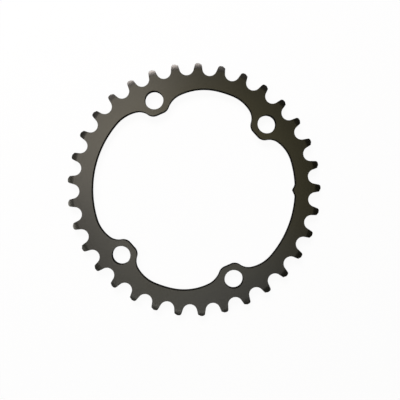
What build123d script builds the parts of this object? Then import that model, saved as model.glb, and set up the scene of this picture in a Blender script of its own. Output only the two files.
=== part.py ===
"""Bicycle chainring with four bolt lobes, lying on the face that seats against the crank spider.

Millimetres, +Z up along the ring's axis. The origin is the middle of the bolt circle on the seat face.
"""

import math
import os

from build123d import *

# Chain and tooth ring
chain_pitch = 12.7
tooth_thickness = 2.0
first_tooth_angle = 12.8

# Tooth outline
root_depth = 4.26  # from the pitch circle down to the bottom of a roller seat
tip_height = 2.46  # from the pitch circle up to the tooth tips
seat_radius = 3.97
cut_flank_lean = 9.0  # degrees to the tooth's centre line
round_flank_lean = 11.5
tip_cut_height = 0.97
tip_cut_slope = 32.7  # degrees to the tip land
tip_round = 1.4

# Relief that thins both faces towards the tooth tips, on a curve that starts at a slight crease
relief_length = 3.56
relief_depth = 0.62
relief_crease = 4.0  # degrees
turning_allowance = 0.1

# Body
body_thickness = 3.0
shoulder_inset = 1.5  # from the tooth roots in to the shoulder on the seat side
shoulder_run = 0.6  # how far the shoulder slopes outwards on its way to the teeth
edge_break = 0.2

# Bolt holes: two pairs, opposite each other
bolt_circle = 107.0
bolt_hole = 10.1
pair_spread = 72.0  # degrees between the two holes of a pair
rim_wall = 3.5  # the least metal between a bolt hole and a roller seat

# Bolt lobes and the inner edge
rim_offset = 2.26  # the inner edge lies this far outside the bolt circle
lobe_wall = 2.85  # from a bolt hole to the flat end of its lobe
lobe_flat = 4.1
lobe_corner = 5.1
plain_corner_turn = 59.3
plain_neck_radius = 8.1
plain_neck_turn = 48.4
wide_corner_turn = 46.1
wide_neck_radius = 11.8
wide_neck_turn = 44.1

# Pointer on the inner edge that shows which way round the ring goes
pointer_angle = 11.7
pointer_height = 1.5
pointer_width = 6.0
pointer_tip_round = 0.3
pointer_foot_round = 3.0

# Sizes that follow from the ones above. The ring has the fewest teeth that leave the rim wall standing.
bolt_radius = bolt_circle / 2
least_pitch_radius = bolt_radius + bolt_hole / 2 + rim_wall + root_depth
tooth_count = math.ceil(math.pi / math.asin(chain_pitch / 2 / least_pitch_radius))
half_tooth_angle = 180 / tooth_count
pitch_radius = chain_pitch / 2 / math.sin(math.radians(half_tooth_angle))
root_radius = pitch_radius - root_depth
tip_radius = pitch_radius + tip_height
shoulder_radius = root_radius - shoulder_inset
tooth_base = body_thickness - tooth_thickness
inner_radius = bolt_radius + rim_offset
lobe_end = bolt_radius - bolt_hole / 2 - lobe_wall
lobe_angles = [middle + side * pair_spread / 2 for middle in (90, 270) for side in (-1, 1)]


def polar(radius: float, angle: float) -> Vector:
    """The point at a radius and an angle in degrees."""
    return Vector(radius, 0).rotate(Axis.Z, angle)


def flank_foot(side: int, lean: float) -> Vector:
    """Where a flank leaves its roller seat, on the +1 or -1 side of a tooth that points along +X."""
    seat_middle = polar(root_radius + seat_radius, side * half_tooth_angle)
    tilt = math.radians(lean)
    return seat_middle - Vector(math.sin(tilt), side * math.cos(tilt)) * seat_radius


def flank_point(side: int, lean: float, height: float) -> Vector:
    """The point of a flank, or of its line drawn on, at a height along the tooth's centre line."""
    foot = flank_foot(side, lean)
    inward = (height - foot.X) * math.tan(math.radians(lean))
    return Vector(height, foot.Y - side * inward)


# One tooth, pointing along +X, from the bottom of one roller seat to the bottom of the next
cut_foot = flank_foot(-1, cut_flank_lean)
round_foot = flank_foot(1, round_flank_lean)
cut_start = flank_point(-1, cut_flank_lean, tip_radius - tip_cut_height)
cut_end = cut_start + Vector(tip_cut_height, tip_cut_height / math.tan(math.radians(tip_cut_slope)))
round_corner = flank_point(1, round_flank_lean, tip_radius)
with BuildLine() as tooth:
    TangentArc(polar(root_radius, -half_tooth_angle), cut_foot, tangent=polar(1, 90 - half_tooth_angle))
    FilletPolyline(cut_foot, cut_start, cut_end, round_corner, round_foot, radius=[0, 0, tip_round])
    TangentArc(polar(root_radius, half_tooth_angle), round_foot, tangent=polar(1, half_tooth_angle - 90))


def lobe_side(corner_turn: float, neck_radius: float, neck_turn: float) -> Curve:
    """The left side of a bolt lobe on the +X axis, from its flat end out to the rim's inner edge."""
    with BuildLine() as side:
        corner = JernArc((lobe_end, lobe_flat / 2), (0, 1), lobe_corner, -corner_turn)
        neck = JernArc(corner @ 1, corner % 1, neck_radius, neck_turn)
        neck_end = neck @ 1
        outward = (neck % 1).rotate(Axis.Z, -90)
        room = inner_radius - outward.dot(neck_end)
        sweep_radius = (inner_radius**2 - neck_end.length**2) / (2 * room)
        sweep_middle = neck_end - outward * sweep_radius
        TangentArc(neck_end, sweep_middle.normalized() * inner_radius, tangent=neck % 1)
    return side.line


plain_side = lobe_side(plain_corner_turn, plain_neck_radius, plain_neck_turn)
wide_side = lobe_side(wide_corner_turn, wide_neck_radius, wide_neck_turn)


def reach(side: Curve) -> float:
    """The angle in degrees from the middle of a lobe to where its side meets the inner edge."""
    end = side.vertices().sort_by(SortBy.DISTANCE)[-1]
    return math.degrees(math.atan2(end.Y, end.X))


# The opening: the round inner edge, broken by the four lobes and the pointer
left_sides = [plain_side] * len(lobe_angles)
right_sides = [plain_side, wide_side] * (len(lobe_angles) // 2)
with BuildSketch() as opening:
    with BuildLine():
        for index, angle in enumerate(lobe_angles):
            add(left_sides[index], rotation=angle)
            add(mirror(right_sides[index], about=Plane.XZ, mode=Mode.PRIVATE), rotation=angle)
            corners = [Vector(lobe_end, side * lobe_flat / 2).rotate(Axis.Z, angle) for side in (-1, 1)]
            Line(corners)
            arc_start = lobe_angles[index - 1] + reach(left_sides[index - 1])
            arc_end = angle - reach(right_sides[index])
            CenterArc((0, 0), inner_radius, arc_start, (arc_end - arc_start) % 360)
    make_face()
    pointer_tip = polar(inner_radius - pointer_height, pointer_angle)
    half_width = math.degrees(math.asin(pointer_width / 2 / inner_radius))
    pointer_feet = [polar(inner_radius, pointer_angle + side * half_width) for side in (-1, 1)]
    with BuildLine():
        base = [pointer_tip + (foot - pointer_tip) * 2 for foot in pointer_feet]
        Polyline(pointer_tip, *base, close=True)
    make_face(mode=Mode.SUBTRACT)
    for foot in pointer_feet:
        fillet(opening.vertices().sort_by_distance(foot)[0], pointer_foot_round)
    fillet(opening.vertices().sort_by_distance(pointer_tip)[0], pointer_tip_round)

with BuildPart() as chainring:
    # The turned blank: a disc with a shoulder on the seat side and relief towards its edge
    with BuildSketch(Plane.XZ):
        with BuildLine():
            relief_start = tip_radius - relief_length
            blank_radius = tip_radius + turning_allowance
            Polyline(
                (0, 0),
                (shoulder_radius, 0),
                (shoulder_radius + shoulder_run, tooth_base),
                (relief_start, tooth_base),
            )
            seat_relief = TangentArc(
                (relief_start, tooth_base),
                (blank_radius, tooth_base + relief_depth),
                tangent=polar(1, relief_crease),
            )
            top_relief = TangentArc(
                (relief_start, body_thickness),
                (blank_radius, body_thickness - relief_depth),
                tangent=polar(1, -relief_crease),
            )
            Line(seat_relief @ 1, top_relief @ 1)
            Polyline((relief_start, body_thickness), (0, body_thickness), (0, 0))
        make_face()
    revolve(axis=Axis.Z)

    # Teeth, lobes and opening, cut straight through the blank
    with BuildSketch():
        with BuildLine():
            with PolarLocations(0, tooth_count, start_angle=first_tooth_angle):
                add(tooth.line)
        make_face()
        add(opening.sketch, mode=Mode.SUBTRACT)
    extrude(amount=body_thickness, mode=Mode.INTERSECT)

    # Bolt holes, and a small break on every inner edge of both flat faces
    with Locations(*[polar(bolt_radius, angle) for angle in lobe_angles]):
        Hole(bolt_hole / 2)
    level_faces = chainring.faces().filter_by(GeomType.PLANE).filter_by(Axis.Z).sort_by(Axis.Z)
    inner_wires = level_faces[0].inner_wires() + level_faces[-1].inner_wires()
    chamfer(inner_wires.edges(), edge_break)

os.makedirs("parts", exist_ok=True)
chainring.part.label = "chainring"
export_step(chainring.part, "parts/chainring.step")
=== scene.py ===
"""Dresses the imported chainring: a fine-edged mesh of it, its black anodised finish and a plain studio.

The mesh is modelled in millimetres about the ring's axis and brought to metres when it is whole.
Angles are in degrees. The photograph is turned against the model by one fixed angle, PHOTO_TURN.
"""

import logging
import math
from collections.abc import Callable
from dataclasses import dataclass, field
from enum import Enum

import bmesh
import bpy
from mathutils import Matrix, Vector


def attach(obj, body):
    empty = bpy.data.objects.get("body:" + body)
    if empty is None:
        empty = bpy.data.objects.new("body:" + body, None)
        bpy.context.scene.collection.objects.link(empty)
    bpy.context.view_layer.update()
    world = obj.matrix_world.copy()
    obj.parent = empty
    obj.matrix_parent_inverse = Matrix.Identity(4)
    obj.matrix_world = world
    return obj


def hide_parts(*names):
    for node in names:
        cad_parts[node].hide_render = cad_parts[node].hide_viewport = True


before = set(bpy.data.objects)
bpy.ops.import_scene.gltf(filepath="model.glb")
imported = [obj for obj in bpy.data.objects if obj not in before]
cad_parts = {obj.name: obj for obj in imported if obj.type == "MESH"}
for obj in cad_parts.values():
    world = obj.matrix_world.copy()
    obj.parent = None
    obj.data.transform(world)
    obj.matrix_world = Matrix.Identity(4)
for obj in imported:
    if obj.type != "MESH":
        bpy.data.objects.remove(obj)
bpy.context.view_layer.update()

log = logging.getLogger("chainring")

MILLIMETRE = 0.001
PHOTO_TURN = 12.0  # from a direction in the photograph to the same direction on the model
WELD = 0.004  # vertices nearer to each other than this are one, in mm
CHORD_GAP = 0.004  # how far the steps of an arc may leave the true arc, in mm
LEVEL_SLACK = 0.01  # how far from a level or a radius still counts as on it, in mm
FEWEST_STEPS = 2  # even the shortest arc has this many
STEEP = 0.5  # a face of a tooth is a wall where the upward part of its normal is under this


class Lobe(Enum):
    """The side of a bolt lobe: which way it runs out into the rim."""

    PLAIN = "plain"
    WIDE = "wide"


class Surface(Enum):
    """Which finish a face of the ring has, as its place in the list of materials."""

    FACE = 0
    # the cut walls and rounded edges, dyed darker as painted shade
    CUT = 1


class Pick(Enum):
    """What a selection in the mesh being edited is made of."""

    EDGES = "EDGE"
    FACES = "FACE"


def polar(radius: float, angle: float, height: float = 0.0) -> Vector:
    """Gives the point at a radius, an angle and a height."""
    turn = math.radians(angle)
    return Vector((radius * math.cos(turn), radius * math.sin(turn), height))


def arc_steps(radius: float, degrees: float) -> int:
    """Counts the straight steps that an arc needs.

    Args:
        radius: The arc's radius in mm.
        degrees: How far it goes round.

    Returns:
        The least number of steps, from FEWEST_STEPS up, that stays within CHORD_GAP.
    """
    widest = math.degrees(2 * math.acos(1 - CHORD_GAP / radius))
    return max(FEWEST_STEPS, math.ceil(abs(degrees) / widest))


def begin_mesh(name: str) -> bpy.types.Object:
    """Adds an empty mesh object and opens it for editing.

    Args:
        name: The name of the new piece.

    Returns:
        The new object, in edit mode.
    """
    bpy.ops.object.select_all(action="DESELECT")
    bpy.ops.mesh.primitive_plane_add(size=1)
    piece = bpy.context.active_object
    piece.name = name
    piece.data.name = name
    bpy.ops.object.mode_set(mode="EDIT")
    bpy.ops.mesh.select_all(action="SELECT")
    bpy.ops.mesh.delete(type="VERT")
    return piece


def pick(kind: Pick, wanted: Callable[..., bool]) -> None:
    """Selects, in the mesh being edited, what a test accepts and nothing else.

    Args:
        kind: Whether edges or faces are looked at.
        wanted: The test for one edge or face.
    """
    bpy.ops.mesh.select_mode(type=kind.value)
    bpy.ops.mesh.select_all(action="DESELECT")
    mesh = bpy.context.edit_object.data
    form = bmesh.from_edit_mesh(mesh)
    for element in form.edges if kind is Pick.EDGES else form.faces:
        if wanted(element):
            element.select_set(True)
    bmesh.update_edit_mesh(mesh)


def weld_all() -> None:
    """Joins all vertices of the mesh being edited that lie on each other."""
    bpy.ops.mesh.select_all(action="SELECT")
    bpy.ops.mesh.remove_doubles(threshold=WELD)


def at_level(edge: bmesh.types.BMEdge, height: float) -> bool:
    """Tells whether an edge lies level at a height."""
    return all(abs(vertex.co.z - height) < LEVEL_SLACK for vertex in edge.verts)


def raise_edges(height: float) -> None:
    """Draws the selected edges up into a wall of that height, or down where it is negative."""
    bpy.ops.mesh.extrude_edges_move(TRANSFORM_OT_translate={"value": (0, 0, height)})


def settle_order() -> None:
    """Lays the faces of the mesh being edited again, in one fixed order.

    An extrusion leaves edges and faces in an order that changes from run to run, and later cuts follow it.
    """
    mesh = bpy.context.edit_object.data
    form = bmesh.from_edit_mesh(mesh)
    form.verts.index_update()
    outlines = sorted([vertex.index for vertex in face.verts] for face in form.faces)
    for elements in (form.faces, form.edges):
        for element in elements[:]:
            elements.remove(element)
    form.verts.ensure_lookup_table()
    for outline in outlines:
        form.faces.new([form.verts[index] for index in outline])
    form.normal_update()
    bmesh.update_edit_mesh(mesh)


@dataclass
class OutlinePen:
    """Draws a flat outline in the mesh being edited, as the path of one vertex.

    Attributes:
        place: Where the pen is, in mm.
        heading: Which way it points, from +X.
    """

    place: Vector
    heading: float = 0.0

    def set_down(self) -> None:
        """Starts the outline: a small plane is shrunk to the pen's one vertex."""
        bpy.ops.mesh.select_mode(type="VERT")
        bpy.ops.mesh.select_all(action="DESELECT")
        bpy.ops.mesh.primitive_plane_add(size=1, location=self.place)
        bpy.ops.mesh.merge(type="CENTER")

    def line_to(self, point: Vector) -> None:
        """Draws a straight line and leaves the pen pointing along it.

        Args:
            point: Where the line ends.
        """
        step = point - self.place
        bpy.ops.mesh.extrude_vertices_move(TRANSFORM_OT_translate={"value": step})
        self.place = point
        self.heading = math.degrees(math.atan2(step.y, step.x))

    def ahead(self, length: float) -> None:
        """Draws a straight line of that length the way the pen points."""
        self.line_to(self.place + polar(length, self.heading))

    def turn(self, radius: float, degrees: float) -> None:
        """Draws an arc that starts the way the pen points.

        Args:
            radius: The arc's radius.
            degrees: How far it turns, to the left where positive.
        """
        middle = self.place + polar(math.copysign(radius, degrees), self.heading + 90)
        bpy.ops.mesh.spin(
            steps=arc_steps(radius, degrees),
            angle=-math.radians(degrees),
            center=middle,
            axis=(0, 0, 1),
        )
        self.heading += degrees
        self.place = middle - polar(math.copysign(radius, degrees), self.heading + 90)


@dataclass
class ToothRing:
    """The ring of teeth, out from the foot of the shoulder, in mm.

    Attributes:
        count: How many teeth there are.
        chain_pitch: From one roller of the chain to the next.
        first_angle: Where the first tooth's centre line is.
        root_depth: From the pitch circle down to the bottom of a roller seat.
        tip_height: From the pitch circle up to the tips.
        seat_radius: The round of a roller seat.
        cut_lean: How far the flank below the cut corner leans in.
        round_lean: How far the flank below the rounded corner leans in.
        cut_height: How far down the cut corner goes.
        cut_slope: The cut's slope to the tip.
        tip_round: The round of the other corner.
        relief_length: How far in from the tips both faces slope off.
        relief_slopes: The slopes of the relief, from its start to the tip.
        base: The level of the face on the seat side.
        top: The level of the outer face.
        foot_radius: Where the teeth's flat faces end inwards.
    """

    count: int = 33
    chain_pitch: float = 12.7
    first_angle: float = 12.8
    root_depth: float = 4.26
    tip_height: float = 2.46
    seat_radius: float = 3.97
    cut_lean: float = 9.0
    round_lean: float = 11.5
    cut_height: float = 0.97
    cut_slope: float = 32.7
    tip_round: float = 1.4
    relief_length: float = 3.56
    relief_slopes: tuple[float, ...] = (4.0, 6.75, 9.5, 12.25, 15.0)
    base: float = 1.0
    top: float = 3.0
    foot_radius: float = 61.643

    @property
    def half_angle(self) -> float:
        """Half the angle between two teeth."""
        return 180 / self.count

    @property
    def pitch_radius(self) -> float:
        """The radius of the circle that the chain's rollers lie on."""
        return self.chain_pitch / 2 / math.sin(math.radians(self.half_angle))

    @property
    def root_radius(self) -> float:
        """The radius at the bottom of the roller seats."""
        return self.pitch_radius - self.root_depth

    @property
    def tip_radius(self) -> float:
        """The radius at the tooth tips."""
        return self.pitch_radius + self.tip_height

    def flank_point(self, side: int, lean: float, reach: float) -> Vector:
        """Finds a point of a flank of the tooth that points along +X.

        Args:
            side: +1 for the flank on the left, -1 for the one on the right.
            lean: How far that flank leans in.
            reach: How far out along the tooth's centre line the point is.

        Returns:
            The point of the flank, or of its line drawn on.
        """
        seat_middle = polar(self.root_radius + self.seat_radius, side * self.half_angle)
        tilt = math.radians(lean)
        foot = seat_middle - Vector((math.sin(tilt), side * math.cos(tilt), 0)) * self.seat_radius
        inward = (reach - foot.x) * math.tan(tilt)
        return Vector((reach, foot.y - side * inward, self.base))

    def draw_outline(self) -> None:
        """Draws one tooth with half a seat on either side and the rim below it, and makes it a face."""
        pen = OutlinePen(polar(self.root_radius, -self.half_angle, self.base), 90 - self.half_angle)
        pen.set_down()
        pen.turn(self.seat_radius, self.cut_lean + self.half_angle - 90)
        cut_start = self.flank_point(-1, self.cut_lean, self.tip_radius - self.cut_height)
        pen.line_to(cut_start)
        cut_run = self.cut_height / math.tan(math.radians(self.cut_slope))
        pen.line_to(cut_start + Vector((self.cut_height, cut_run, 0)))
        corner_turn = 90 - self.round_lean
        setback = self.tip_round * math.tan(math.radians(corner_turn / 2))
        corner = self.flank_point(1, self.round_lean, self.tip_radius)
        pen.line_to(corner - Vector((0, setback, 0)))
        pen.turn(self.tip_round, corner_turn)
        seat_turn = 90 - self.half_angle - self.round_lean
        seat_middle = polar(self.root_radius + self.seat_radius, self.half_angle, self.base)
        pen.line_to(seat_middle - polar(self.seat_radius, 90 - self.round_lean))
        pen.turn(self.seat_radius, -seat_turn)
        pen.line_to(polar(self.foot_radius, self.half_angle, self.base))
        pen.heading = self.half_angle - 90
        pen.turn(self.foot_radius, -2 * self.half_angle)
        pen.line_to(polar(self.root_radius, -self.half_angle, self.base))
        weld_all()
        bpy.ops.mesh.edge_face_add()

    def cut_relief(self) -> None:
        """Slopes both faces off towards the tip, by one flat cut after another."""
        reach = self.tip_radius - self.relief_length
        step = self.relief_length / len(self.relief_slopes)
        drop = 0.0
        for slope in self.relief_slopes:
            tilt = math.radians(slope)
            for level, way in ((self.top, 1), (self.base, -1)):
                bpy.ops.mesh.select_all(action="SELECT")
                bpy.ops.mesh.bisect(
                    plane_co=(reach, 0, level - way * drop),
                    plane_no=(math.sin(tilt), 0, way * math.cos(tilt)),
                    use_fill=True,
                    clear_outer=True,
                )
            reach += step
            drop += step * math.tan(tilt)

    def open_seams(self) -> None:
        """Takes off the walls where the tooth joins its neighbours and the rim."""
        seam = math.radians(self.half_angle)

        def is_seam(face: bmesh.types.BMFace) -> bool:
            """Tells such walls from the other faces.

            Args:
                face: A face of the tooth.

            Returns:
                Whether it is a wall on the cut to a neighbour or at the foot.
            """
            radii = [vertex.co.xy.length for vertex in face.verts]
            angles = [math.atan2(vertex.co.y, vertex.co.x) for vertex in face.verts]
            at_foot = max(radii) < self.foot_radius + LEVEL_SLACK
            at_side = min(abs(angle) for angle in angles) > seam - LEVEL_SLACK / self.root_radius
            return (at_foot or at_side) and abs(face.normal.z) < STEEP

        pick(Pick.FACES, is_seam)
        bpy.ops.mesh.delete(type="FACE")

    def build(self) -> None:
        """Models one tooth in the mesh being edited and spins it into the whole ring."""
        self.draw_outline()
        bpy.ops.mesh.extrude_region_move(TRANSFORM_OT_translate={"value": (0, 0, self.top - self.base)})
        settle_order()
        self.cut_relief()
        self.open_seams()
        bpy.ops.mesh.select_all(action="SELECT")
        copies = self.count - 1
        bpy.ops.mesh.spin(
            steps=copies,
            dupli=True,
            angle=math.radians(360 * copies / self.count),
            center=(0, 0, 0),
            axis=(0, 0, 1),
        )
        weld_all()
        bpy.ops.transform.rotate(
            value=-math.radians(self.first_angle),
            orient_axis="Z",
            center_override=(0, 0, 0),
        )


@dataclass
class BoltOpening:
    """The opening inside the ring: its round edge, four bolt lobes with their holes, and the pointer, in mm.

    Attributes:
        bolt_radius: The radius of the bolt circle.
        hole_radius: The radius of a bolt hole.
        lobe_angles: Where the middles of the lobes are.
        right_sides: The kind of each lobe's right side. All left sides are plain.
        edge_radius: The radius of the round edge between the lobes.
        lobe_end: How far from the axis the lobes' flat ends are.
        lobe_flat: The length of a flat end.
        lobe_corner: The round beside a flat end.
        corner_turns: How far that round turns, for each kind of side.
        neck_radii: The radius of the hollow that follows it.
        neck_turns: How far the hollow turns.
        pointer_angle: Where the pointer is.
        pointer_height: How far its tip stands in from the edge.
        pointer_width: How wide it is at the edge.
        pointer_tip: The round of its tip.
        pointer_foot: The hollow at its feet.
        thickness: The height of the walls.
    """

    bolt_radius: float = 53.5
    hole_radius: float = 5.05
    lobe_angles: tuple[float, ...] = (54.0, 126.0, 234.0, 306.0)
    right_sides: tuple[Lobe, ...] = (Lobe.PLAIN, Lobe.WIDE, Lobe.PLAIN, Lobe.WIDE)
    edge_radius: float = 55.76
    lobe_end: float = 45.6
    lobe_flat: float = 4.1
    lobe_corner: float = 5.1
    corner_turns: dict[Lobe, float] = field(default_factory=lambda: {Lobe.PLAIN: 59.3, Lobe.WIDE: 46.1})
    neck_radii: dict[Lobe, float] = field(default_factory=lambda: {Lobe.PLAIN: 8.1, Lobe.WIDE: 11.8})
    neck_turns: dict[Lobe, float] = field(default_factory=lambda: {Lobe.PLAIN: 48.4, Lobe.WIDE: 44.1})
    pointer_angle: float = 11.7
    pointer_height: float = 1.5
    pointer_width: float = 6.0
    pointer_tip: float = 0.3
    pointer_foot: float = 3.0
    thickness: float = 3.0

    def sweep(self, kind: Lobe) -> tuple[float, float]:
        """Finds the long arc that takes a lobe's side out to the round edge.

        Args:
            kind: Which kind of side it is.

        Returns:
            The arc's radius, and the angle from the lobe's middle at which it meets the edge.
        """
        turn = self.corner_turns[kind]
        corner_middle = Vector((self.lobe_end + self.lobe_corner, self.lobe_flat / 2, 0))
        neck_middle = corner_middle + polar(self.lobe_corner + self.neck_radii[kind], 180 - turn)
        outward = polar(1, self.neck_turns[kind] - turn)
        neck_end = neck_middle + outward * self.neck_radii[kind]
        room = self.edge_radius - outward.dot(neck_end)
        radius = (self.edge_radius**2 - neck_end.length_squared) / (2 * room)
        middle = neck_end - outward * radius
        return radius, math.degrees(math.atan2(middle.y, middle.x))

    def draw_lobe(self, pen: OutlinePen, right: Lobe, left: Lobe) -> None:
        """Draws a lobe, from where the pen leaves the round edge to where it meets it again.

        Args:
            pen: The pen, on the round edge.
            right: The kind of side that the pen goes in by.
            left: The kind of side that it comes out by.
        """
        for kind, inward in ((right, True), (left, False)):
            radius, reach = self.sweep(kind)
            sweep_turn = self.corner_turns[kind] - self.neck_turns[kind] + reach
            arcs = [
                (radius, sweep_turn),
                (self.neck_radii[kind], self.neck_turns[kind]),
                (self.lobe_corner, -self.corner_turns[kind]),
            ]
            for arc_radius, turn in arcs if inward else reversed(arcs):
                pen.turn(arc_radius, turn)
            if inward:
                pen.ahead(self.lobe_flat)

    def draw_pointer(self, pen: OutlinePen) -> None:
        """Draws the round edge up to the pointer, and the rounded pointer to where it meets the edge again.

        Args:
            pen: The pen, on the round edge.
        """
        half_angle = math.degrees(math.asin(self.pointer_width / 2 / self.edge_radius))
        foot = polar(self.edge_radius, -half_angle)
        tip = Vector((self.edge_radius - self.pointer_height, 0, 0))
        along = (tip - foot).normalized()
        slope = math.degrees(math.atan2(-along.x, along.y))
        inner = self.edge_radius - self.pointer_foot
        start = tip - Vector((along.y, -along.x, 0)) * self.pointer_foot
        back = start.dot(along) + math.sqrt(start.dot(along) ** 2 - start.length_squared + inner**2)
        foot_middle = start - along * back
        foot_angle = -math.degrees(math.atan2(foot_middle.y, foot_middle.x))
        flank_length = back - self.pointer_tip * math.tan(math.radians(slope))
        self.follow_edge(pen, self.pointer_angle - foot_angle)
        pen.turn(self.pointer_foot, slope + foot_angle)
        pen.ahead(flank_length)
        pen.turn(self.pointer_tip, -2 * slope)
        pen.ahead(flank_length)
        pen.turn(self.pointer_foot, slope + foot_angle)

    def follow_edge(self, pen: OutlinePen, angle: float) -> None:
        """Takes the pen along the round edge to an angle."""
        pen.turn(self.edge_radius, (angle + 90 - pen.heading) % 360)

    def draw_edge(self) -> None:
        """Draws the whole inner edge, anticlockwise from the end of the last lobe."""
        plain_reach = self.sweep(Lobe.PLAIN)[1]
        start = self.lobe_angles[-1] + plain_reach
        pen = OutlinePen(polar(self.edge_radius, start), start + 90)
        pen.set_down()
        self.draw_pointer(pen)
        for angle, right in zip(self.lobe_angles, self.right_sides):
            self.follow_edge(pen, angle - self.sweep(right)[1])
            self.draw_lobe(pen, right, Lobe.PLAIN)

    def build(self) -> None:
        """Models the walls of the opening and of the bolt holes in the mesh being edited."""
        self.draw_edge()
        for angle in self.lobe_angles:
            bpy.ops.mesh.primitive_circle_add(
                vertices=arc_steps(self.hole_radius, 360),
                radius=self.hole_radius,
                fill_type="NOTHING",
                location=polar(self.bolt_radius, angle),
            )
        weld_all()
        pick(Pick.EDGES, lambda edge: edge.is_wire)
        raise_edges(self.thickness)
        settle_order()


def new_group(
    name: str,
    inputs: dict[str, str],
    outputs: dict[str, str],
) -> tuple[bpy.types.NodeTree, bpy.types.Node, bpy.types.Node]:
    """Makes an empty shader node group.

    Args:
        name: The group's name.
        inputs: The kind of each named input.
        outputs: The kind of each named output.

    Returns:
        The group, its input node and its output node.
    """
    tree = bpy.data.node_groups.new(name, "ShaderNodeTree")
    for label, kind in inputs.items():
        tree.interface.new_socket(name=label, in_out="INPUT", socket_type=kind)
    for label, kind in outputs.items():
        tree.interface.new_socket(name=label, in_out="OUTPUT", socket_type=kind)
    return tree, tree.nodes.new("NodeGroupInput"), tree.nodes.new("NodeGroupOutput")


def scaled_noise(
    tree: bpy.types.NodeTree,
    coordinates: bpy.types.NodeSocket,
    scale: bpy.types.NodeSocket | float,
    detail: float,
) -> bpy.types.NodeSocket:
    """Adds a noise texture to a node tree.

    Args:
        tree: The tree.
        coordinates: The socket that places the noise.
        scale: Its patches to a metre, as a number or a socket.
        detail: How many finer layers it has.

    Returns:
        The noise's value, from 0 to 1.
    """
    noise = tree.nodes.new("ShaderNodeTexNoise")
    noise.inputs["Detail"].default_value = detail
    if isinstance(scale, bpy.types.NodeSocket):
        tree.links.new(scale, noise.inputs["Scale"])
    else:
        noise.inputs["Scale"].default_value = scale
    tree.links.new(coordinates, noise.inputs["Vector"])
    return noise.outputs["Fac"]


PITS_TO_A_LUMP = 3.0  # how many pits wide the coarser unevenness is
LUMP_LAYERS = 2.0  # finer layers in it
DYE_PATCHES = 45.0  # wide patches of the dye to a metre
DYE_LAYERS = 3.0  # finer layers in them
MOTTLES = 900.0  # small patches of the dye to a metre
MOTTLE_LAYERS = 2.0  # finer layers in them
MOTTLE_SHARE = 0.35  # how much of the dye's cloud they make up
MEAN_CLOUD = 0.5  # where the cloud has this value, the colour is the finish's own


@dataclass(frozen=True)
class Effects:
    """The surface effects that the finishes share, as node groups.

    Attributes:
        grain: The fine pitted grain of blasted metal.
        cloud: The slow drift in how deep the dye took.
    """

    grain: bpy.types.NodeTree
    cloud: bpy.types.NodeTree

    @classmethod
    def build(cls) -> "Effects":
        """Makes the groups."""
        return cls(grain=cls.blasted_grain(), cloud=cls.dye_cloud())

    @staticmethod
    def blasted_grain() -> bpy.types.NodeTree:
        """Makes the grain: rounded pits of one size over a coarser unevenness.

        Returns:
            A group that takes Coordinates and Pits, their number to a metre, and gives Height.
        """
        tree, given, result = new_group(
            "blasted_grain",
            {"Coordinates": "NodeSocketVector", "Pits": "NodeSocketFloat"},
            {"Height": "NodeSocketFloat"},
        )
        pits = tree.nodes.new("ShaderNodeTexVoronoi")
        pits.feature = "SMOOTH_F1"
        tree.links.new(given.outputs["Coordinates"], pits.inputs["Vector"])
        tree.links.new(given.outputs["Pits"], pits.inputs["Scale"])
        coarse = tree.nodes.new("ShaderNodeMath")
        coarse.operation = "DIVIDE"
        coarse.inputs[1].default_value = PITS_TO_A_LUMP
        tree.links.new(given.outputs["Pits"], coarse.inputs[0])
        uneven = scaled_noise(tree, given.outputs["Coordinates"], coarse.outputs["Value"], LUMP_LAYERS)
        both = tree.nodes.new("ShaderNodeMath")
        both.operation = "ADD"
        tree.links.new(pits.outputs["Distance"], both.inputs[0])
        tree.links.new(uneven, both.inputs[1])
        tree.links.new(both.outputs["Value"], result.inputs["Height"])
        return tree

    @staticmethod
    def dye_cloud() -> bpy.types.NodeTree:
        """Makes the dye's drift: wide soft patches with finer mottling in them.

        Returns:
            A group that takes Coordinates, the Color and its Drift. It gives the drifting Color
            and the Cloud, from 0 to 1, that it drifts with.
        """
        tree, given, result = new_group(
            "dye_cloud",
            {"Coordinates": "NodeSocketVector", "Color": "NodeSocketColor", "Drift": "NodeSocketFloat"},
            {"Color": "NodeSocketColor", "Cloud": "NodeSocketFloat"},
        )
        patches = scaled_noise(tree, given.outputs["Coordinates"], DYE_PATCHES, DYE_LAYERS)
        mottling = scaled_noise(tree, given.outputs["Coordinates"], MOTTLES, MOTTLE_LAYERS)
        cloud = tree.nodes.new("ShaderNodeMix")
        cloud.inputs["Factor"].default_value = MOTTLE_SHARE
        tree.links.new(patches, cloud.inputs["A"])
        tree.links.new(mottling, cloud.inputs["B"])
        # The colour is scaled by 1 + drift * (cloud - MEAN_CLOUD).
        span = tree.nodes.new("ShaderNodeMath")
        span.operation = "MULTIPLY_ADD"
        tree.links.new(cloud.outputs["Result"], span.inputs[0])
        tree.links.new(given.outputs["Drift"], span.inputs[1])
        share = tree.nodes.new("ShaderNodeMath")
        share.operation = "MULTIPLY_ADD"
        share.inputs[1].default_value = -MEAN_CLOUD
        share.inputs[2].default_value = 1.0
        tree.links.new(given.outputs["Drift"], share.inputs[0])
        tree.links.new(share.outputs["Value"], span.inputs[2])
        tinted = tree.nodes.new("ShaderNodeVectorMath")
        tinted.operation = "SCALE"
        tree.links.new(given.outputs["Color"], tinted.inputs["Vector"])
        tree.links.new(span.outputs["Value"], tinted.inputs["Scale"])
        tree.links.new(tinted.outputs["Vector"], result.inputs["Color"])
        tree.links.new(cloud.outputs["Result"], result.inputs["Cloud"])
        return tree


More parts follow.
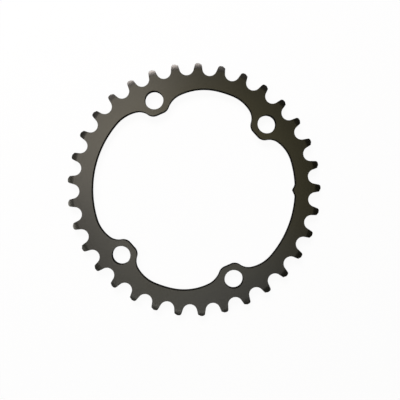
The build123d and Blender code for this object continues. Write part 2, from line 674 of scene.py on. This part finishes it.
@dataclass(frozen=True)
class AnodisedFinish:
    """Aluminium with a dyed oxide layer.

    Attributes:
        name: The material's name.
        color: The colour that the dye gives, linear.
        drift: How much lighter or darker the dye gets from place to place, as a share.
        edge_tint: How much of the gloss is left where the surface is seen at a flat angle.
        smoothest: The roughness where the layer is smoothest.
        roughest: The roughness where it is dullest.
        pits: How many pits of the grain there are to a metre.
        pit_depth: How deep the grain is, in metres.
    """

    name: str
    color: tuple[float, float, float]
    drift: float
    edge_tint: float
    smoothest: float
    roughest: float
    pits: float
    pit_depth: float

    def material(self, effects: Effects) -> bpy.types.Material:
        """Makes the finish.

        Args:
            effects: The shared node groups.

        Returns:
            The material.
        """
        material = bpy.data.materials.new(self.name)
        material.use_nodes = True
        tree = material.node_tree
        shader = tree.nodes["Principled BSDF"]
        shader.inputs["Metallic"].default_value = 1.0
        shader.inputs["Specular Tint"].default_value = (*(self.edge_tint,) * 3, 1.0)
        where = tree.nodes.new("ShaderNodeTexCoord")

        cloud = tree.nodes.new("ShaderNodeGroup")
        cloud.node_tree = effects.cloud
        cloud.inputs["Color"].default_value = (*self.color, 1.0)
        cloud.inputs["Drift"].default_value = self.drift
        tree.links.new(where.outputs["Object"], cloud.inputs["Coordinates"])
        tree.links.new(cloud.outputs["Color"], shader.inputs["Base Color"])

        dulling = tree.nodes.new("ShaderNodeMapRange")
        dulling.inputs["To Min"].default_value = self.smoothest
        dulling.inputs["To Max"].default_value = self.roughest
        tree.links.new(cloud.outputs["Cloud"], dulling.inputs["Value"])
        tree.links.new(dulling.outputs["Result"], shader.inputs["Roughness"])

        grain = tree.nodes.new("ShaderNodeGroup")
        grain.node_tree = effects.grain
        grain.inputs["Pits"].default_value = self.pits
        tree.links.new(where.outputs["Object"], grain.inputs["Coordinates"])
        bump = tree.nodes.new("ShaderNodeBump")
        bump.inputs["Strength"].default_value = 1.0
        bump.inputs["Distance"].default_value = self.pit_depth
        tree.links.new(grain.outputs["Height"], bump.inputs["Height"])
        tree.links.new(bump.outputs["Normal"], shader.inputs["Normal"])
        return material


FACE_FINISH = AnodisedFinish(
    name="black_anodised_faces",
    color=(0.075, 0.072, 0.063),
    drift=0.08,
    edge_tint=1.0,
    smoothest=0.27,
    roughest=0.35,
    pits=5000.0,
    pit_depth=0.000004,
)
# A copy of the face finish for the cut walls and rounded edges. It is rougher, as cut faces can be, and dyed
# darker as painted shade, and no gloss is left at flat angles.
PAINTED_SHADE_CUT_FINISH = AnodisedFinish(
    name="black_anodised_cuts_painted_shade",
    color=(0.03, 0.0288, 0.0252),
    drift=0.3,
    edge_tint=0.0,
    smoothest=0.5,
    roughest=0.62,
    pits=4000.0,
    pit_depth=0.00001,
)


@dataclass
class Chainring:
    """The whole ring as one mesh: teeth, rim, shoulder, opening and fine rounded edges, in mm.

    Attributes:
        teeth: The tooth ring.
        opening: The opening with its bolt lobes.
        shoulder_radius: Where the seat face ends outwards.
        edge_round: The width of the rounding on every sharp edge.
        edge_steps: How many steps that rounding has.
        flat_angle: Up to what angle neighbouring faces are one flat face.
        folded_angle: From what angle on a face lies back over its neighbour.
        sharp_angle: From what angle on an edge is rounded.
        smooth_angle: Up to what angle neighbouring faces are shaded as one.
        wall_lean: Faces whose upward part is under this are cut walls and their edges, which get the darker
            finish as painted shade.
    """

    teeth: ToothRing = field(default_factory=ToothRing)
    opening: BoltOpening = field(default_factory=BoltOpening)
    shoulder_radius: float = 61.043
    edge_round: float = 0.1
    edge_steps: int = 3
    flat_angle: float = 0.2
    folded_angle: float = 170.0
    sharp_angle: float = 25.0
    smooth_angle: float = 50.0
    wall_lean: float = 0.92

    def add_shoulder(self) -> None:
        """Draws the foot of the teeth in and down to the seat face."""
        foot = self.teeth.foot_radius
        pick(
            Pick.EDGES,
            lambda edge: edge.is_boundary
            and at_level(edge, self.teeth.base)
            and all(abs(vertex.co.xy.length - foot) < LEVEL_SLACK for vertex in edge.verts),
        )
        raise_edges(-self.teeth.base)
        inwards = self.shoulder_radius / foot
        bpy.ops.transform.resize(value=(inwards, inwards, 1), center_override=(0, 0, 0))
        settle_order()

    def fill_faces(self) -> None:
        """Closes the two flat faces between the rim and the opening."""
        for level in (0.0, self.teeth.top):
            pick(Pick.EDGES, lambda edge: edge.is_boundary and at_level(edge, level))
            bpy.ops.mesh.fill(use_beauty=True)
        bpy.ops.mesh.select_all(action="SELECT")
        bpy.ops.mesh.normals_make_consistent(inside=False)
        # Where the fill cut across a shallow hollow and folded a sliver back, the two become one face.
        folded = math.radians(self.folded_angle)
        pick(Pick.EDGES, lambda edge: edge.is_manifold and edge.calc_face_angle() > folded)
        bpy.ops.mesh.dissolve_edges(use_verts=False)

    def part_faces(self) -> None:
        """Leaves only such lines in the flat faces as meet every edge squarely, for an even rounding.

        They are two straight lines through opposite bolt holes and, in the top face, a circle over the foot
        of the teeth.
        """
        foot = self.teeth.foot_radius
        crossings = [polar(1, angle + 90) for angle in self.opening.lobe_angles[:2]]
        for crossing in crossings:
            bpy.ops.mesh.select_all(action="SELECT")
            bpy.ops.mesh.bisect(plane_co=(0, 0, 0), plane_no=crossing)

        def is_kept(edge: bmesh.types.BMEdge) -> bool:
            """Tells the lines that stay from the other edges.

            Args:
                edge: An edge of the mesh.

            Returns:
                Whether it lies on one of the straight lines or at the foot of the teeth.
            """
            ends = [vertex.co for vertex in edge.verts]
            if max(end.xy.length for end in ends) > foot + LEVEL_SLACK:
                return False
            on_circle = min(end.xy.length for end in ends) > foot - LEVEL_SLACK
            return on_circle or any(
                all(abs(end.dot(crossing)) < LEVEL_SLACK for end in ends) for crossing in crossings
            )

        pick(Pick.EDGES, is_kept)
        bpy.ops.mesh.mark_seam()
        bpy.ops.mesh.select_all(action="SELECT")
        bpy.ops.mesh.dissolve_limited(angle_limit=math.radians(self.flat_angle), delimit={"SEAM"})
        bpy.ops.mesh.mark_seam(clear=True)

    def round_edges(self, piece: bpy.types.Object) -> None:
        """Rounds every sharp edge finely, brings the mesh to metres and keeps flat faces' shading flat.

        Args:
            piece: The closed mesh, in object mode and still in mm.
        """
        rounding = piece.modifiers.new("edge_round", "BEVEL")
        rounding.width = self.edge_round
        rounding.segments = self.edge_steps
        rounding.limit_method = "ANGLE"
        rounding.angle_limit = math.radians(self.sharp_angle)
        rounding.loop_slide = False
        rounding.use_clamp_overlap = False
        # The rounding takes the darker cut finish: painted shade along every edge.
        rounding.material = Surface.CUT.value
        bpy.ops.object.modifier_apply(modifier=rounding.name)
        bpy.ops.object.mode_set(mode="EDIT")
        bpy.ops.mesh.select_all(action="SELECT")
        bpy.ops.transform.resize(value=(MILLIMETRE,) * 3, center_override=(0, 0, 0))
        bpy.ops.object.mode_set(mode="OBJECT")
        bpy.ops.object.shade_smooth_by_angle(angle=math.radians(self.smooth_angle))
        flatness = piece.modifiers.new("flat_faces", "WEIGHTED_NORMAL")
        flatness.keep_sharp = True
        bpy.ops.object.modifier_apply(modifier=flatness.name)

    def build(self) -> bpy.types.Object:
        """Models the piece.

        Returns:
            The finished mesh object, in metres at the origin.
        """
        piece = begin_mesh("chainring_ring")
        effects = Effects.build()
        finishes = {Surface.FACE: FACE_FINISH, Surface.CUT: PAINTED_SHADE_CUT_FINISH}
        for surface in Surface:
            piece.data.materials.append(finishes[surface].material(effects))
        self.teeth.build()
        self.add_shoulder()
        self.opening.build()
        self.fill_faces()
        self.part_faces()
        bpy.ops.object.mode_set(mode="OBJECT")
        self.round_edges(piece)
        return piece

    def dress(self, piece: bpy.types.Object) -> None:
        """Gives the turned and blasted faces one finish, and the walls that were cut through them a darker
        copy of it as painted shade.

        Args:
            piece: The finished mesh object.
        """
        bpy.ops.object.mode_set(mode="EDIT")
        pick(Pick.FACES, lambda face: abs(face.normal.z) < self.wall_lean)
        piece.active_material_index = Surface.CUT.value
        bpy.ops.object.material_slot_assign()
        bpy.ops.object.mode_set(mode="OBJECT")


@dataclass(frozen=True)
class Softbox:
    """An even, soft oval light that faces the middle of the ring.

    Attributes:
        name: The light's name.
        bearing: Its direction in the photograph, from the right of the picture anticlockwise.
        zenith: How far it stands from straight overhead.
        distance: From the middle of the ring, in metres.
        width: Its size across that direction, in metres.
        depth: Its size along that direction, in metres.
        radiance: How bright its face is, where 1 is white.
        color: The light's colour.
    """

    name: str
    bearing: float
    zenith: float
    distance: float
    width: float
    depth: float
    radiance: float
    color: tuple[float, float, float] = (1.0, 1.0, 1.0)

    def build(self) -> None:
        """Sets the light up."""
        data = bpy.data.lights.new(self.name, "AREA")
        data.shape = "ELLIPSE"
        data.size = self.width
        data.size_y = self.depth
        area = math.pi * self.width * self.depth / 4
        data.energy = self.radiance * math.pi * area
        data.color = self.color
        lamp = bpy.data.objects.new(self.name, data)
        bpy.context.scene.collection.objects.link(lamp)
        tilt = math.radians(self.zenith)
        out = polar(self.distance * math.sin(tilt), self.bearing + PHOTO_TURN, self.distance * math.cos(tilt))
        lamp.location = out
        lamp.rotation_mode = "QUATERNION"
        lamp.rotation_quaternion = (-out).to_track_quat("-Z", "Y")
        lamp.visible_camera = False


STUDIO_LIGHTS = (
    Softbox(
        name="overhead",
        bearing=0,
        zenith=0,
        distance=0.65,
        width=0.58,
        depth=0.58,
        radiance=0.8,
        color=(1.0, 0.93, 0.58),
    ),
    Softbox(
        name="key",
        bearing=142,
        zenith=24,
        distance=0.65,
        width=0.44,
        depth=0.2,
        radiance=2.08,
        color=(1.0, 0.955, 0.96),
    ),
    Softbox(
        name="tips",
        bearing=104.5,
        zenith=58,
        distance=0.75,
        width=0.5,
        depth=0.28,
        radiance=14.3,
        color=(0.99, 0.935, 1.0),
    ),
    Softbox(
        name="left",
        bearing=190,
        zenith=57,
        distance=0.75,
        width=0.34,
        depth=0.2,
        radiance=5.4,
    ),
    Softbox(
        name="low",
        bearing=258,
        zenith=36,
        distance=0.7,
        width=0.56,
        depth=0.14,
        radiance=2.35,
        color=(0.95, 0.97, 1.0),
    ),
    Softbox(
        name="side",
        bearing=204,
        zenith=19,
        distance=0.65,
        width=0.34,
        depth=0.14,
        radiance=1.5,
        color=(0.74, 0.76, 1.0),
    ),
    Softbox(
        name="fill",
        bearing=291,
        zenith=20,
        distance=0.65,
        width=0.34,
        depth=0.16,
        radiance=0.85,
        color=(0.54, 0.62, 1.0),
    ),
)


@dataclass
class Studio:
    """A plain white floor, soft lights and the camera over the ring.

    Attributes:
        floor_radius: How far the floor reaches, in metres.
        floor_corners: How many corners stand for its round edge.
        backdrop_rise: How high the backdrop at its edge stands, seen from the ring.
        floor_color: The floor's and backdrop's own colour.
        glow: How much of their white is the picture's plain background.
        surround: The colour of the room round the lights.
        surround_level: How bright the room is.
        lights: The soft lights.
        camera_height: How high over the middle of the ring the camera is, in mm.
        lens: Its focal length in mm.
        framing: Its shift, because the photograph doesn't show the ring in its middle.
    """

    floor_radius: float = 5.0
    floor_corners: int = 96
    backdrop_rise: float = 25.0
    floor_color: tuple[float, float, float] = (0.95, 0.95, 0.95)
    glow: float = 0.93
    surround: tuple[float, float, float] = (1.0, 1.0, 0.5)
    surround_level: float = 0.035
    lights: tuple[Softbox, ...] = STUDIO_LIGHTS
    camera_height: float = 180.0
    lens: float = 29.23
    framing: tuple[float, float] = (0.015, -0.0258)

    def floor_material(self) -> bpy.types.Material:
        """Makes the floor's white, which keeps a soft shadow.

        Returns:
            The material. What the camera or a mirror image sees of it is mostly an even glow.
        """
        material = bpy.data.materials.new("studio_floor")
        material.use_nodes = True
        tree = material.node_tree
        tree.nodes.remove(tree.nodes["Principled BSDF"])
        matt = tree.nodes.new("ShaderNodeBsdfDiffuse")
        matt.inputs["Color"].default_value = (*self.floor_color, 1.0)
        plain = tree.nodes.new("ShaderNodeEmission")
        rays = tree.nodes.new("ShaderNodeLightPath")
        seen = rays.outputs["Is Camera Ray"]
        for kind in ("Is Glossy Ray", "Is Transmission Ray"):
            either = tree.nodes.new("ShaderNodeMath")
            either.operation = "MAXIMUM"
            tree.links.new(seen, either.inputs[0])
            tree.links.new(rays.outputs[kind], either.inputs[1])
            seen = either.outputs["Value"]
        share = tree.nodes.new("ShaderNodeMath")
        share.operation = "MULTIPLY"
        share.inputs[1].default_value = self.glow
        tree.links.new(seen, share.inputs[0])
        mix = tree.nodes.new("ShaderNodeMixShader")
        tree.links.new(share.outputs["Value"], mix.inputs["Fac"])
        tree.links.new(matt.outputs["BSDF"], mix.inputs[1])
        tree.links.new(plain.outputs["Emission"], mix.inputs[2])
        tree.links.new(mix.outputs["Shader"], tree.nodes["Material Output"].inputs["Surface"])
        return material

    def lay_floor(self) -> None:
        """Lays the round floor, draws its edge up into the backdrop and marks both as stage."""
        bpy.ops.object.select_all(action="DESELECT")
        bpy.ops.mesh.primitive_circle_add(
            vertices=self.floor_corners,
            radius=self.floor_radius,
            fill_type="NGON",
        )
        floor = bpy.context.active_object
        floor.name = "studio_floor"
        bpy.ops.object.mode_set(mode="EDIT")
        pick(Pick.EDGES, lambda edge: edge.is_boundary)
        raise_edges(self.floor_radius * math.tan(math.radians(self.backdrop_rise)))
        settle_order()
        bpy.ops.object.mode_set(mode="OBJECT")
        floor.data.materials.append(self.floor_material())

    def light(self) -> None:
        """Sets up the room and the lights."""
        world = bpy.data.worlds.new("studio_room")
        world.use_nodes = True
        room = world.node_tree.nodes["Background"]
        room.inputs["Color"].default_value = (*self.surround, 1.0)
        room.inputs["Strength"].default_value = self.surround_level
        bpy.context.scene.world = world
        for softbox in self.lights:
            softbox.build()
        bpy.context.scene.view_settings.view_transform = "Standard"

    def set_camera(self) -> None:
        """Hangs the camera over the ring, looking straight down."""
        data = bpy.data.cameras.new("camera")
        data.lens = self.lens
        data.shift_x, data.shift_y = self.framing
        camera = bpy.data.objects.new("camera", data)
        camera.location.z = self.camera_height * MILLIMETRE
        camera.rotation_euler = (0.0, 0.0, math.radians(PHOTO_TURN))
        data.clip_start = MILLIMETRE
        bpy.context.scene.collection.objects.link(camera)
        bpy.context.scene.camera = camera

    def build(self) -> None:
        """Sets up the whole studio."""
        self.lay_floor()
        self.light()
        self.set_camera()


def main() -> None:
    """Builds the piece and the studio in order."""
    logging.basicConfig(level=logging.INFO, format="%(name)s: %(message)s")
    ring = Chainring()
    piece = ring.build()
    ring.dress(piece)
    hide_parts("chainring")
    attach(piece, "root")
    log.info("%s has %d faces", piece.name, len(piece.data.polygons))
    Studio().build()
    log.info("the studio is set up")


if __name__ == "__main__":
    main()
